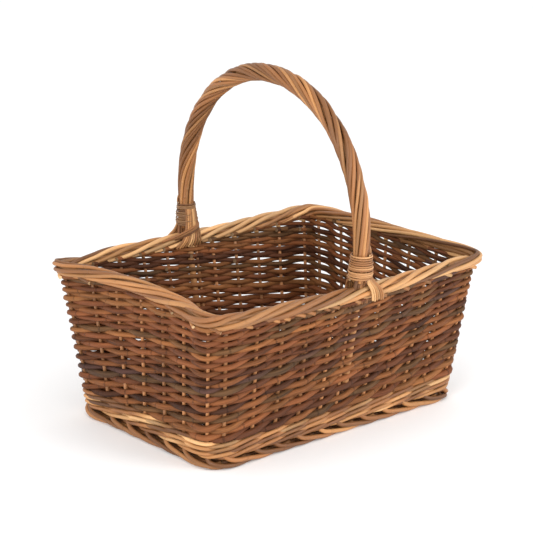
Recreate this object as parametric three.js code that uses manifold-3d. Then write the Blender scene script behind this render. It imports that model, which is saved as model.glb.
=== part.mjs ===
// Rectangular woven market basket with one fixed handle over the middle.
//
// Millimetres, +Z up. The origin is on the floor, under the middle of the basket.
// X runs along the basket, Y runs across it, and the handle stands in the plane x = 0.
//
// Everything between the foot and the rim is drawn upright, over the outline that the
// stakes stand on, and then flared: it leans out as it rises, and its sides bow a little.
import * as THREE from 'three';
import { mergeVertices } from 'three/addons/utils/BufferGeometryUtils.js';
import Module from 'manifold-3d';

const wasm = await Module();
wasm.setup();

// ---- Driving sizes ----
const FOOT_LENGTH = 389; // outside of the foot, along X
const FOOT_WIDTH = 262; // outside of the foot, along Y
const RIM_LENGTH = 430; // outside of the rim at its corners, along X
const RIM_WIDTH = 325; // outside of the rim at its corners, along Y
const RIM_HEIGHT = 192; // floor to the top of the rim at its corners
const HANDLE_HEIGHT = 422; // floor to the top of the handle

const CORNER_RADIUS = 20; // of the line that the stakes stand on
const LONG_SIDE_BULGE = 5; // how far the rim's long sides bow outwards
const SHORT_SIDE_DENT = 11; // how far the rim's short sides bow inwards
const LONG_SIDE_SAG = 4; // how far the rim drops at the middle of a long side
const SHORT_SIDE_ARCH = 6; // how far the rim rises at the middle of a short side

const FOOT_BORDER_HEIGHT = 13;
const FOOT_BORDER_THICKNESS = 16;
const WALE_HEIGHT = 20; // the band of fine rods at the bottom of the sides
const WALE_THICKNESS = 15;
const WALL_THICKNESS = 14;
const RIM_BORDER_HEIGHT = 18;
const RIM_BORDER_THICKNESS = 19;
const RIM_BORDER_ROUNDING = 4;

const LONG_SIDE_STAKES = 11;
const SHORT_SIDE_STAKES = 7;
const STAKE_DIAMETER = 4.6;
const CORNER_STAKE_TURN = THREE.MathUtils.degToRad(28); // each side of the corner's diagonal

const BASE_HEIGHT = 16; // floor to the underside of the base
const BASE_THICKNESS = 11;
const BASE_STICKS = 3;
const BASE_STICK_DIAMETER = 7;

const BOW_DIAMETER = 9; // the thick rod inside the handle
const BOW_DEPTH = 130; // how far the bow's ends go down below the top of the rim
const WRAP_DIAMETER = 22; // the handle over the rods that are twisted round the bow
const ARCH_FULLNESS = 2.05; // 2 is an ellipse, more is squarer
const BINDING_THICKNESS = 2.7;
const BINDING_HEIGHT = 31;
const WRAP_LIFT = 4; // from the top of the rim to the rods round the bow
const BINDING_LIFT = 9; // from the top of the rim to the binding
const SPRING_LIFT = 13; // from the top of the binding to where the handle starts to curve in
const HANDLE_SPREAD = 2; // how much further out the handle stands there than at the rim

const GAP = 0.3; // clearance between pieces that touch
const BOW_FIT = 0.8; // clearance round the bow, all along its channel
const BOW_BEND_ROOM = 1.6; // clearance round the bow where it bends in the rim
const CHANNEL_WEB = 1.1; // left between the bow's channel and that of the stake beside it
const BINDING_FIT = 0.8; // clearance between the handle and its bindings

// ---- Sizes that follow ----
const halfLength = (FOOT_LENGTH - FOOT_BORDER_THICKNESS) / 2;
const halfWidth = (FOOT_WIDTH - FOOT_BORDER_THICKNESS) / 2;
const leanX = (RIM_LENGTH - RIM_BORDER_THICKNESS) / 2 - halfLength;
const leanY = (RIM_WIDTH - RIM_BORDER_THICKNESS) / 2 - halfWidth;
const straightX = halfLength - CORNER_RADIUS;
const straightY = halfWidth - CORNER_RADIUS;

const waleBottom = FOOT_BORDER_HEIGHT + GAP;
const waleTop = FOOT_BORDER_HEIGHT + WALE_HEIGHT;
const wallBottom = waleTop + GAP;
const rimBottom = RIM_HEIGHT - RIM_BORDER_HEIGHT;
const wallTop = rimBottom - GAP;
const bowBottom = RIM_HEIGHT - BOW_DEPTH;
const stakeRadius = STAKE_DIAMETER / 2;
const bowRadius = BOW_DIAMETER / 2;
const wrapRadius = WRAP_DIAMETER / 2;
const bindingRadius = wrapRadius + BINDING_FIT + BINDING_THICKNESS;
const middleStakeShift = bowRadius + BOW_FIT + CHANNEL_WEB + GAP + stakeRadius;

// ---- Materials ----
const looks = {
  barkWillow: { color: 0x8a5c40, roughness: 0.6, metalness: 0 },
  buffWillow: { color: 0xcf9460, roughness: 0.5, metalness: 0 },
  paleWillow: { color: 0xd9a870, roughness: 0.55, metalness: 0 },
  splitWillow: { color: 0xc99a62, roughness: 0.5, metalness: 0 },
};

const basket = new THREE.Group();
basket.name = 'market_basket';

function addPiece(name, geometry, look) {
  const mesh = new THREE.Mesh(geometry, new THREE.MeshStandardMaterial(looks[look]));
  mesh.name = name;
  basket.add(mesh);
}

// ---- The flare: from upright to leaning and bowed ----
// For one place on the outline the shift grows evenly with height, so a straight stake
// stays straight, and a stake and its channel stay in line.
function flarePoint(point) {
  const along = THREE.MathUtils.clamp(point.x / straightX, -1, 1);
  const across = THREE.MathUtils.clamp(point.y / straightY, -1, 1);
  const rise = point.z / RIM_HEIGHT;
  const longSide = 1 - along * along;
  const shortSide = 1 - across * across;
  point.x += rise * along * (leanX - SHORT_SIDE_DENT * shortSide);
  point.y += rise * across * (leanY + LONG_SIDE_BULGE * longSide);
  point.z += rise * SHORT_SIDE_ARCH * shortSide * along * along;
  point.z -= rise * LONG_SIDE_SAG * longSide * across * across;
  return point;
}

function flare(geometry) {
  const position = geometry.attributes.position;
  const point = new THREE.Vector3();
  for (let i = 0; i < position.count; i += 1) {
    flarePoint(point.fromBufferAttribute(position, i));
    position.setXYZ(i, point.x, point.y, point.z);
  }
  return geometry;
}

// ---- Joining and cutting ----
function toSolid(geometry) {
  const plain = geometry.index ? geometry.toNonIndexed() : geometry.clone();
  plain.deleteAttribute('normal');
  plain.deleteAttribute('uv');
  const merged = mergeVertices(plain, 1e-4);
  const vertProperties = new Float32Array(merged.attributes.position.array);
  const triVerts = new Uint32Array(merged.index.array);
  return new wasm.Manifold(new wasm.Mesh({ numProp: 3, vertProperties, triVerts }));
}

function toGeometry(solid) {
  const mesh = solid.getMesh();
  const geometry = new THREE.BufferGeometry();
  geometry.setAttribute('position', new THREE.BufferAttribute(mesh.vertProperties, 3));
  geometry.setIndex(new THREE.BufferAttribute(mesh.triVerts, 1));
  return geometry;
}

// ---- The four sides ----
// A side runs from the middle of one corner to the middle of the next. It is drawn with
// its middle at the bottom of the plan and turned into place.
const sides = [
  { name: 'front', halfRun: straightX, distance: halfWidth, turn: 0, stakes: LONG_SIDE_STAKES },
  { name: 'right', halfRun: straightY, distance: halfLength, turn: 1, stakes: SHORT_SIDE_STAKES },
  { name: 'back', halfRun: straightX, distance: halfWidth, turn: 2, stakes: LONG_SIDE_STAKES },
  { name: 'left', halfRun: straightY, distance: halfLength, turn: 3, stakes: SHORT_SIDE_STAKES },
];
const isLong = (side) => side.turn % 2 === 0;
const turnAngle = (side) => side.turn * Math.PI / 2;

// Centres of a side's stakes, the first and last of them in its rounded corners. On a long
// side the middle stake moves along to make room for the end of the bow.
function stakeCentres(side) {
  const last = side.stakes - 1;
  const cornerAngle = Math.PI / 4 - CORNER_STAKE_TURN;
  const reach = side.halfRun + CORNER_RADIUS * Math.sin(cornerAngle);
  const depth = side.distance - CORNER_RADIUS * (1 - Math.cos(cornerAngle));
  const centres = [new THREE.Vector2(-reach, -depth)];
  for (let i = 1; i < last; i += 1) {
    const isMiddle = isLong(side) && 2 * i === last;
    const x = isMiddle ? -middleStakeShift : side.halfRun * (2 * i / last - 1);
    centres.push(new THREE.Vector2(x, -side.distance));
  }
  centres.push(new THREE.Vector2(reach, -depth));
  return centres;
}

// ---- Plans ----
// A side is marked off in stations, from the middle of one corner to the middle of the
// next: a few round each half corner and more along the bowed stretch between them.
const CORNER_CHORDS = 3;
const BOWED_CHORDS = 10;
const STATIONS = BOWED_CHORDS + 2 * CORNER_CHORDS;

// Plan position of a station, at a distance from the corners' centres.
function stationPoint(side, station, radius, cornerTurn) {
  const centreY = CORNER_RADIUS - side.distance;
  const fromMiddle = station - STATIONS / 2;
  const pastBow = Math.max(Math.abs(fromMiddle) - BOWED_CHORDS / 2, 0);
  const angle = cornerTurn * pastBow / CORNER_CHORDS;
  const straight = Math.min(Math.abs(fromMiddle) / (BOWED_CHORDS / 2), 1) * side.halfRun;
  const x = Math.sign(fromMiddle) * (straight + radius * Math.sin(angle));
  return new THREE.Vector2(x, centreY - radius * Math.cos(angle));
}

// Plan of what fits inside the four sides.
function insideShape(thickness) {
  const radius = CORNER_RADIUS - thickness / 2 - GAP;
  const middle = new THREE.Vector2();
  const points = [];
  for (const side of sides) {
    for (let station = 0; station < STATIONS; station += 1) {
      const point = stationPoint(side, station, radius, Math.PI / 4);
      points.push(point.rotateAround(middle, turnAngle(side)));
    }
  }
  return new THREE.Shape(points);
}

// ---- The sides' bands ----
// A band is its cross-section (x inwards from the stakes' line, y up) run along the side,
// then cut by the channels that the stakes and the bow stand in.
const STAKE_FACETS = 6;
const BOW_FACETS = 8;

function bandSection(thickness, bottom, top, rounding) {
  const half = thickness / 2;
  const shape = new THREE.Shape();
  if (rounding === 0) {
    shape.moveTo(-half, bottom).lineTo(half, bottom).lineTo(half, top).lineTo(-half, top);
    return shape;
  }
  shape.moveTo(-half + rounding, bottom).lineTo(half - rounding, bottom);
  shape.quadraticCurveTo(half, bottom, half, bottom + rounding);
  shape.lineTo(half, top - rounding);
  shape.quadraticCurveTo(half, top, half - rounding, top);
  shape.lineTo(-half + rounding, top);
  shape.quadraticCurveTo(-half, top, -half, top - rounding);
  shape.lineTo(-half, bottom + rounding);
  shape.quadraticCurveTo(-half, bottom, -half + rounding, bottom);
  return shape;
}

function sideBand(side, thickness, section) {
  const settings = { depth: STATIONS, steps: STATIONS, curveSegments: 2, bevelEnabled: false };
  const geometry = new THREE.ExtrudeGeometry(section, settings);
  const innerRadius = CORNER_RADIUS - thickness / 2;
  const cornerTurn = Math.PI / 4 - Math.asin(GAP / (2 * innerRadius));
  const position = geometry.attributes.position;
  for (let i = 0; i < position.count; i += 1) {
    const radius = CORNER_RADIUS - position.getX(i);
    const height = position.getY(i);
    const place = stationPoint(side, position.getZ(i), radius, cornerTurn);
    position.setXYZ(i, place.x, place.y, height);
  }
  return placeSide(side, geometry);
}

// The flare needs a piece in its place, so a side is turned before it is flared.
function placeSide(side, geometry) {
  return flare(geometry.rotateZ(turnAngle(side)));
}

function uprightRod(centre, radius, bottom, top, facets) {
  const rod = new THREE.CylinderGeometry(radius, radius, top - bottom, facets);
  rod.rotateX(Math.PI / 2);
  return rod.translate(centre.x, centre.y, (bottom + top) / 2);
}

// Every channel runs well past the top and bottom of the band that it is cut in.
const CHANNEL_OVERRUN = 10;
function cutChannel(solid, side, centre, radius, bottom, top, facets) {
  const low = bottom - CHANNEL_OVERRUN;
  const high = top + CHANNEL_OVERRUN;
  const drill = placeSide(side, uprightRod(centre, radius, low, high, facets));
  return solid.subtract(toSolid(drill));
}

function cutBowChannel(solid, side, clearance, bottom, top) {
  const centre = new THREE.Vector2(0, -side.distance);
  return cutChannel(solid, side, centre, bowRadius + clearance, bottom, top, BOW_FACETS);
}

function stakedBand(side, thickness, bottom, top) {
  const section = bandSection(thickness, bottom, top, 0);
  let solid = toSolid(sideBand(side, thickness, section));
  for (const centre of stakeCentres(side)) {
    const radius = stakeRadius + GAP;
    solid = cutChannel(solid, side, centre, radius, bottom, top, STAKE_FACETS);
  }
  if (isLong(side) && top > bowBottom) {
    solid = cutBowChannel(solid, side, BOW_FIT, bottom, top);
  }
  return toGeometry(solid);
}

function footBorder(side) {
  const section = bandSection(FOOT_BORDER_THICKNESS, 0, FOOT_BORDER_HEIGHT, 0);
  return sideBand(side, FOOT_BORDER_THICKNESS, section);
}

function rimBorder(side) {
  const thickness = RIM_BORDER_THICKNESS;
  const section = bandSection(thickness, rimBottom, RIM_HEIGHT, RIM_BORDER_ROUNDING);
  const band = sideBand(side, thickness, section);
  if (!isLong(side)) return band;
  return toGeometry(cutBowChannel(toSolid(band), side, BOW_BEND_ROOM, rimBottom, RIM_HEIGHT));
}

// ---- Stakes ----
function stake(side, centre) {
  return placeSide(side, uprightRod(centre, stakeRadius, waleBottom, wallTop, STAKE_FACETS));
}

const twoDigits = (number) => String(number).padStart(2, '0');

for (const side of sides) {
  const { name } = side;
  addPiece(`foot_border_${name}`, footBorder(side), 'buffWillow');
  const wale = stakedBand(side, WALE_THICKNESS, waleBottom, waleTop);
  addPiece(`wale_${name}`, wale, 'buffWillow');
  const wall = stakedBand(side, WALL_THICKNESS, wallBottom, wallTop);
  addPiece(`wall_${name}`, wall, 'barkWillow');
  addPiece(`rim_border_${name}`, rimBorder(side), 'buffWillow');
  stakeCentres(side).forEach((centre, i) => {
    addPiece(`stake_${name}_${twoDigits(i + 1)}`, stake(side, centre), 'buffWillow');
  });
}

// ---- Base ----
// Sticks run the length of the base, and the mat is woven across them.
function baseStickPlaces() {
  const inside = 2 * (halfWidth - CORNER_RADIUS);
  const places = [];
  for (let i = 1; i <= BASE_STICKS; i += 1) {
    places.push(inside * (i / (BASE_STICKS + 1) - 0.5));
  }
  return places;
}

const insideEnd = halfLength - WALE_THICKNESS / 2 - GAP;
function baseRod(y, radius, length) {
  const rod = new THREE.CylinderGeometry(radius, radius, length, STAKE_FACETS);
  rod.rotateZ(Math.PI / 2);
  return rod.translate(0, y, BASE_HEIGHT + BASE_THICKNESS / 2);
}

function baseMat() {
  const shape = insideShape(WALE_THICKNESS);
  const slab = new THREE.ExtrudeGeometry(shape, { depth: BASE_THICKNESS, bevelEnabled: false });
  slab.translate(0, 0, BASE_HEIGHT);
  let solid = toSolid(slab);
  for (const y of baseStickPlaces()) {
    const tunnel = baseRod(y, BASE_STICK_DIAMETER / 2 + GAP, 2 * halfLength);
    solid = solid.subtract(toSolid(tunnel));
  }
  return flare(toGeometry(solid));
}

addPiece('base_mat', baseMat(), 'barkWillow');
baseStickPlaces().forEach((y, i) => {
  const stick = flare(baseRod(y, BASE_STICK_DIAMETER / 2, 2 * insideEnd));
  addPiece(`base_stick_${twoDigits(i + 1)}`, stick, 'buffWillow');
});

// ---- Handle ----
const LEG_SHARE = 0.3; // of the way from an end of the handle to its top
const rimSeat = flarePoint(new THREE.Vector3(0, halfWidth, RIM_HEIGHT));
const legFoot = flarePoint(new THREE.Vector3(0, halfWidth, 0));
const legLean = (rimSeat.y - legFoot.y) / (rimSeat.z - legFoot.z);
const archReach = rimSeat.y + HANDLE_SPREAD;
const bindingBottom = rimSeat.z + BINDING_LIFT;
const springHeight = bindingBottom + BINDING_HEIGHT + SPRING_LIFT;
const archRise = HANDLE_HEIGHT - wrapRadius - springHeight;

// How far out a leg stands at a height: in line with the stakes up to the rim, then
// bending until it stands upright where the arch springs.
function legReach(height) {
  if (height <= rimSeat.z) return rimSeat.y - legLean * (rimSeat.z - height);
  const span = springHeight - rimSeat.z;
  const t = (height - rimSeat.z) / span;
  const blend = t * t * (3 - 2 * t);
  return rimSeat.y + HANDLE_SPREAD * blend + legLean * span * t * (1 - t) * (1 - t);
}

// The middle of the handle, over the basket from one end to the other.
class HandleLine extends THREE.Curve {
  constructor(endHeight) {
    super();
    this.endHeight = endHeight;
    this.arcLengthDivisions = 800;
  }

  getPoint(t, target = new THREE.Vector3()) {
    const way = t < 0.5 ? -1 : 1;
    const climb = 1 - Math.abs(2 * t - 1);
    if (climb < LEG_SHARE) {
      const height = THREE.MathUtils.lerp(this.endHeight, springHeight, climb / LEG_SHARE);
      return target.set(0, way * legReach(height), height);
    }
    const angle = Math.PI / 2 * (climb - LEG_SHARE) / (1 - LEG_SHARE);
    const power = 2 / ARCH_FULLNESS;
    const reach = archReach * Math.max(Math.cos(angle), 0) ** power;
    return target.set(0, way * reach, springHeight + archRise * Math.sin(angle) ** power);
  }
}

// A short stretch of one leg.
class LegLine extends THREE.Curve {
  constructor(way, from, to) {
    super();
    Object.assign(this, { way, from, to });
  }

  getPoint(t, target = new THREE.Vector3()) {
    const height = THREE.MathUtils.lerp(this.from, this.to, t);
    return target.set(0, this.way * legReach(height), height);
  }
}

function circlePoints(radius, facets) {
  const points = [];
  for (let i = 0; i < facets; i += 1) {
    const angle = 2 * Math.PI * i / facets;
    points.push(new THREE.Vector2(radius * Math.cos(angle), radius * Math.sin(angle)));
  }
  return points;
}

function rodAlong(path, steps, radius, facets) {
  const shape = new THREE.Shape(circlePoints(radius, facets));
  return new THREE.ExtrudeGeometry(shape, { steps, extrudePath: path });
}

function sleeveAlong(path, steps, outerRadius, outerFacets, innerRadius, innerFacets) {
  const shape = new THREE.Shape(circlePoints(outerRadius, outerFacets));
  shape.holes.push(new THREE.Path(circlePoints(innerRadius, innerFacets).reverse()));
  return new THREE.ExtrudeGeometry(shape, { steps, extrudePath: path });
}

const WRAP_FACETS = 12;
const BINDING_FACETS = 16;
const BOW_STEPS = 72;
const WRAP_STEPS = 48;
const BINDING_STEPS = 4;
const bow = rodAlong(new HandleLine(bowBottom), BOW_STEPS, bowRadius, BOW_FACETS);
addPiece('handle_bow', bow, 'buffWillow');
const wrapLine = new HandleLine(rimSeat.z + WRAP_LIFT);
const boreRadius = bowRadius + BOW_FIT;
const wrap = sleeveAlong(wrapLine, WRAP_STEPS, wrapRadius, WRAP_FACETS, boreRadius, BOW_FACETS);
addPiece('handle_wrap', wrap, 'paleWillow');
for (const [name, way] of [['front', -1], ['back', 1]]) {
  const line = new LegLine(way, bindingBottom, bindingBottom + BINDING_HEIGHT);
  const inside = wrapRadius + BINDING_FIT;
  const facets = BINDING_FACETS;
  const binding = sleeveAlong(line, BINDING_STEPS, bindingRadius, facets, inside, facets);
  addPiece(`handle_binding_${name}`, binding, 'splitWillow');
}

export default basket;
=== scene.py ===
# %% [markdown]
# # A woven market basket
#
# The basket is made of willow rods and nothing else: stakes that stand up, fine rods that
# are woven round them, a foot and a rim that are plaited from the thickest rods, and a
# handle like a rope. A weave could be painted on a plain shell with a bump pattern, but
# the light has to come through the gaps between the rods. So this lesson makes every rod
# as a tube of its own, and puts all the work into the path that each tube follows.
#
# We start by loading the fixed frame, which holds the basket's sizes.

# %% Load the frame
import math

import bpy
import numpy as np
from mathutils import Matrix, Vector


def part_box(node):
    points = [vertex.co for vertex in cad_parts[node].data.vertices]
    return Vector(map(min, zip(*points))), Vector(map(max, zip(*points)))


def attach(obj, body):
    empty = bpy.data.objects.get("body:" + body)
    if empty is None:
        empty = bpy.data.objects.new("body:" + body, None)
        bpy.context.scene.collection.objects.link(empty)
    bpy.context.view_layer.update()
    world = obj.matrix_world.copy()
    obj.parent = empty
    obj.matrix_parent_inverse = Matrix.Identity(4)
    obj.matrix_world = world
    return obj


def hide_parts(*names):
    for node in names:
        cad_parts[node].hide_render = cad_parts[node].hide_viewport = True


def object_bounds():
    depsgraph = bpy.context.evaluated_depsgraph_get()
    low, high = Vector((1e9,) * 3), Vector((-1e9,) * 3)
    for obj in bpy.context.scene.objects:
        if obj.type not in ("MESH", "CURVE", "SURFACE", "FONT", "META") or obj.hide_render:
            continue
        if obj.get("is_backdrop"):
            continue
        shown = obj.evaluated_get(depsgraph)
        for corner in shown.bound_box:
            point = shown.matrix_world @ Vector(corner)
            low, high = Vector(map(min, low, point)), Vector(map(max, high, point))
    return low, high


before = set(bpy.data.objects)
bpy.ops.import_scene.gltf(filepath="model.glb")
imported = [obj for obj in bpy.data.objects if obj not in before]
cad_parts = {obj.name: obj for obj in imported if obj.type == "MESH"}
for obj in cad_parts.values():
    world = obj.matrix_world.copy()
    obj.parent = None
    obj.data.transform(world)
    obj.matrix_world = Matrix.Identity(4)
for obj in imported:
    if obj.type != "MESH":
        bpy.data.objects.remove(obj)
cad_low, cad_high = (np.array(corner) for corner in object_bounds())
MM = 0.001
print("basket box in mm:", np.round((cad_high - cad_low) / MM, 1))

# %% [markdown]
# ## Where the stakes stand
#
# Every path in a basket is told by its stakes: "in front of one, behind the next". So the
# stakes come first. Each one leans outwards, so in its box the bottom end is the corner
# nearest the basket's middle, and the top end is the corner furthest from it.
#
# We number the 36 stakes round the basket, anticlockwise from above, and store both ends
# of each. A place on the weave is then two numbers: how many stakes along, and how far up.

# %% Find both ends of every stake
STAKE_RADIUS = 2.3 * MM
SIDE_STAKES = {"front": 11, "right": 7, "back": 11, "left": 7}
MIDDLE_STAKES = (5, 23)  # of the front and of the back


def stake_ends(node):
    low, high = (np.array(corner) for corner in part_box(node))
    outwards = np.sign((low + high)[:2])
    near = np.where(outwards > 0, low[:2], high[:2]) + outwards * STAKE_RADIUS
    far = np.where(outwards > 0, high[:2], low[:2]) - outwards * STAKE_RADIUS
    return np.append(near, low[2]), np.append(far, high[2])


stake_nodes = []
for side_name, stake_count in SIDE_STAKES.items():
    stake_nodes += [f"stake_{side_name}_{n:02d}" for n in range(1, stake_count + 1)]
stake_feet, stake_tops = map(np.array, zip(*map(stake_ends, stake_nodes)))
STAKES = len(stake_nodes)
STAKE_LENGTH = (stake_tops - stake_feet)[:, 2].mean()
print(STAKES, "stakes, each about", round(STAKE_LENGTH / MM), "mm tall")

# %% [markdown]
# ## One smooth surface to weave on
#
# Between two stakes a rod follows the side of the basket, and at the corners it bends.
# A ready-made curve object would do for one ring, but we need any height and any distance
# in or out. So `on_side` joins the stakes with a Hermite curve, which passes through every
# stake with a chosen direction, and then steps outwards along the side's own normal.
#
# The handle's end stands beside each middle stake, so there the weave aims between the two.

# %% Place a point by stake, height and distance outwards
weave_feet, weave_tops = stake_feet.copy(), stake_tops.copy()
for middle_stake in MIDDLE_STAKES:
    weave_feet[middle_stake, 0] /= 2
    weave_tops[middle_stake, 0] /= 2


def unit(vectors):
    return vectors / np.linalg.norm(vectors, axis=-1, keepdims=True)


def hermite_ring(points, place):
    """A smooth closed curve through points, and its direction, at each place along it."""
    ahead = np.roll(points, -1, axis=0) - points
    reach = np.linalg.norm(ahead, axis=1, keepdims=True)
    heading = unit(unit(ahead) + np.roll(unit(ahead), 1, axis=0))
    here = np.floor(place).astype(int) % len(points)
    there = (here + 1) % len(points)
    t = (place - np.floor(place))[:, None]
    a, b = points[here], points[there]
    da, db = heading[here] * reach[here], heading[there] * reach[here]
    curve = a * (2 * t**3 - 3 * t**2 + 1) + b * (3 * t**2 - 2 * t**3)
    curve = curve + da * (t**3 - 2 * t**2 + t) + db * (t**3 - t**2)
    slope = (a - b) * (6 * t**2 - 6 * t)
    slope = slope + da * (3 * t**2 - 4 * t + 1) + db * (3 * t**2 - 2 * t)
    return curve, slope


def on_side(place, height, out=0.0):
    """place counts stakes, height is 0 at their feet and 1 at their tops, out is metres."""
    place, height, out = np.broadcast_arrays(
        np.atleast_1d(place).astype(float), height, out
    )
    low, low_slope = hermite_ring(weave_feet, place)
    high, high_slope = hermite_ring(weave_tops, place)
    rise = height[:, None]
    slope = unit(low_slope * (1 - rise) + high_slope * rise)
    normal = np.stack([slope[:, 1], -slope[:, 0], np.zeros(len(slope))], axis=1)
    return low * (1 - rise) + high * rise + unit(normal) * out[:, None]


def up(distance):
    """Metres as a share of the stakes' height."""
    return distance / STAKE_LENGTH


half_way = on_side(np.arange(0, STAKES, 0.25), 0.5)
print("weave ring half-way up, in mm:", np.round((half_way.max(0) - half_way.min(0)) / MM, 1))

# %% [markdown]
# ## Small unevenness
#
# Nothing in a basket is quite regular: rods wander, swell and thin out. Blender's noise
# textures could bend a finished mesh, but here the paths are made first, in Python. So a
# few random values are joined smoothly along each path. A fixed seed gives the same
# basket every time.

# %% Draw a gentle wander
SEED = 11
rng = np.random.default_rng(SEED)


def smooth_noise(count, step, size):
    """count values, with a new random one at every step-th, joined smoothly."""
    knots = rng.normal(0, size, int(count / step) + 3)
    at = np.arange(count) / step
    k = at.astype(int)
    t = at - k
    t = t * t * (3 - 2 * t)
    return knots[k] * (1 - t) + knots[k + 1] * t


print("random seed:", SEED)

# %% [markdown]
# ## A rod is a tube
#
# Blender's curves can bevel into tubes, but each of these rods needs its own taper, its
# own colour and texture coordinates along it. So we sweep a ring of points along each
# path, and the ring needs two directions across the path.
#
# A ring mustn't spin as the path bends. Each ring is the last one turned by just as much as
# the path turned, which is called parallel transport. A flat strip has to keep facing one
# way instead, so it can be given an aim.

# %% Find the directions across a path
NEARLY_UPRIGHT = 0.8


def across_path(path, aim=None):
    """Two directions across a path at each of its points, the first one towards aim."""
    ahead = unit(np.gradient(path, axis=0))
    if aim is not None:
        side = unit(aim - ahead * (aim * ahead).sum(1, keepdims=True))
        return side, np.cross(ahead, side)
    level = abs(ahead[0][2]) < NEARLY_UPRIGHT
    side = np.empty_like(path)
    side[0] = unit(np.cross(ahead[0], [0, 0, 1] if level else [1, 0, 0]))
    for i in range(1, len(path)):
        turned = side[i - 1] - ahead[i] * (side[i - 1] @ ahead[i])
        side[i] = turned / np.linalg.norm(turned)
    return side, np.cross(ahead, side)


first_side, second_side = across_path(half_way)
print("directions at right angles:", np.allclose((first_side * second_side).sum(1), 0))

# %% [markdown]
# ## Many rods in one mesh
#
# Real rods taper from butt to tip, and their ends are cut. One object for each rod would be
# slow to handle, so `Rods` collects many of them as points and faces, and builds one
# mesh at the end.
#
# Every rod gets two texture maps. `Rod` is metres along and share of the way round, for the
# grain. `OFBake` gives each short stretch of rod its own cell of a grid, so that the finish
# can be baked without overlaps. Each rod also carries two numbers for its finish: `tone`,
# how light it is, and `kind`, which picks its colour.

# %% Collect rods and build their mesh
SKIN, CUT = 0, 1


class Rods:
    CHUNK = 8  # steps of a rod in one cell of the bake map
    CELL_SHAPE = 2.6  # how much wider than tall a cell of the bake map is
    CELL_MARGIN = 0.05  # left empty at each edge of a cell
    GRAIN_LENGTH = 5  # metres of grain, and each rod starts somewhere along them
    END_SIZE = 3 * MM  # radius of a cut end on the grain map

    def __init__(self, facets=8):
        self.facets = facets
        self.points, self.faces, self.slots = [], [], []
        self.maps, self.cells = [], []
        self.tones, self.kinds = [], []
        self.count, self.cell_count, self.length = 0, 0, 0.0

    def add(self, path, radius, kind=0.5, flat=1.0, aim=None):
        """Adds a rod. Its radius and kind may change along it; flat widens it that way."""
        path = np.asarray(path, float)
        n, m = len(path), self.facets
        radius = np.broadcast_to(radius, n).astype(float)
        side, other = across_path(path, aim)
        angle = np.arange(m) * 2 * np.pi / m
        ring = side[:, None] * np.cos(angle)[None, :, None] * flat
        ring = ring + other[:, None] * np.sin(angle)[None, :, None]
        points = path[:, None] + ring * radius[:, None, None]
        self.points.append(points.reshape(-1, 3))
        self.tones.append(np.full(n * m, rng.random()))
        self.kinds.append(np.repeat(np.broadcast_to(kind, n), m))
        steps = np.linalg.norm(np.diff(path, axis=0), axis=1)
        self.length += steps.sum()
        self.add_skin(np.append(0, np.cumsum(steps)) + rng.random() * self.GRAIN_LENGTH)
        self.add_end(0, range(m - 1, -1, -1))
        self.add_end((n - 1) * m, range(m))
        self.count += n * m

    def add_skin(self, along):
        """The faces along a rod, from the length reached at each of its rings."""
        n, m = len(along), self.facets
        i, j = np.meshgrid(np.arange(n - 1), np.arange(m), indexing="ij")
        i, j = i.ravel(), j.ravel()
        right = (j + 1) % m
        quads = [i * m + j, i * m + right, (i + 1) * m + right, (i + 1) * m + j]
        self.faces += (np.stack(quads, 1) + self.count).tolist()
        self.slots += [SKIN] * len(i)
        u0, u1, v0, v1 = along[i], along[i + 1], j / m, (j + 1) / m
        self.maps.append(np.stack([u0, v0, u0, v1, u1, v1, u1, v0], 1).reshape(-1, 2))
        cell = self.cell_count + i // self.CHUNK
        c0, c1 = (i % self.CHUNK) / self.CHUNK, (i % self.CHUNK + 1) / self.CHUNK
        cells = [cell, c0, v0, cell, c0, v1, cell, c1, v1, cell, c1, v0]
        self.cells.append(np.stack(cells, 1).reshape(-1, 3))
        self.cell_count += (n - 2) // self.CHUNK + 1

    def add_end(self, first, order):
        """One face that closes the ring of points whose first number is given."""
        angle = np.array(order) * 2 * np.pi / self.facets
        around = np.stack([np.cos(angle), np.sin(angle)], axis=1)
        self.faces.append([self.count + first + k for k in order])
        self.slots.append(CUT)
        self.maps.append(around * self.END_SIZE)
        cell = np.full((self.facets, 1), self.cell_count)
        self.cells.append(np.hstack([cell, around * 0.4 + 0.5]))
        self.cell_count += 1

    def bake_places(self):
        """Where each corner of each face lies on the bake map."""
        cells = np.concatenate(self.cells)
        columns = math.ceil(math.sqrt(self.cell_count / self.CELL_SHAPE))
        rows = math.ceil(self.cell_count / columns)
        inner = cells[:, 1:] * (1 - 2 * self.CELL_MARGIN) + self.CELL_MARGIN
        column, row = cells[:, 0] % columns, cells[:, 0] // columns
        return np.stack([(column + inner[:, 0]) / columns, (row + inner[:, 1]) / rows], 1)

    def build(self, name, *materials):
        """Makes the mesh and its object, which rides on the basket."""
        mesh = bpy.data.meshes.new(name)
        mesh.from_pydata(np.concatenate(self.points).tolist(), [], self.faces)
        maps = {"Rod": np.concatenate(self.maps), "OFBake": self.bake_places()}
        for label, places in maps.items():
            mesh.uv_layers.new(name=label).data.foreach_set("uv", places.ravel())
        for label, values in (("tone", self.tones), ("kind", self.kinds)):
            attribute = mesh.attributes.new(label, "FLOAT", "POINT")
            attribute.data.foreach_set("value", np.concatenate(values))
        for material in materials:
            mesh.materials.append(material)
        mesh.polygons.foreach_set("material_index", self.slots)
        mesh.polygons.foreach_set("use_smooth", np.array(self.slots) == SKIN)
        mesh.update()
        piece = bpy.data.objects.new(name, mesh)
        bpy.context.collection.objects.link(piece)
        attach(piece, "root")
        print(f"{name}: {len(self.faces)} faces, {self.length:.1f} m of rod")
        return piece


print("one rod of 12 steps and 8 facets has", 12 * 8 + 2, "faces")

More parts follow.
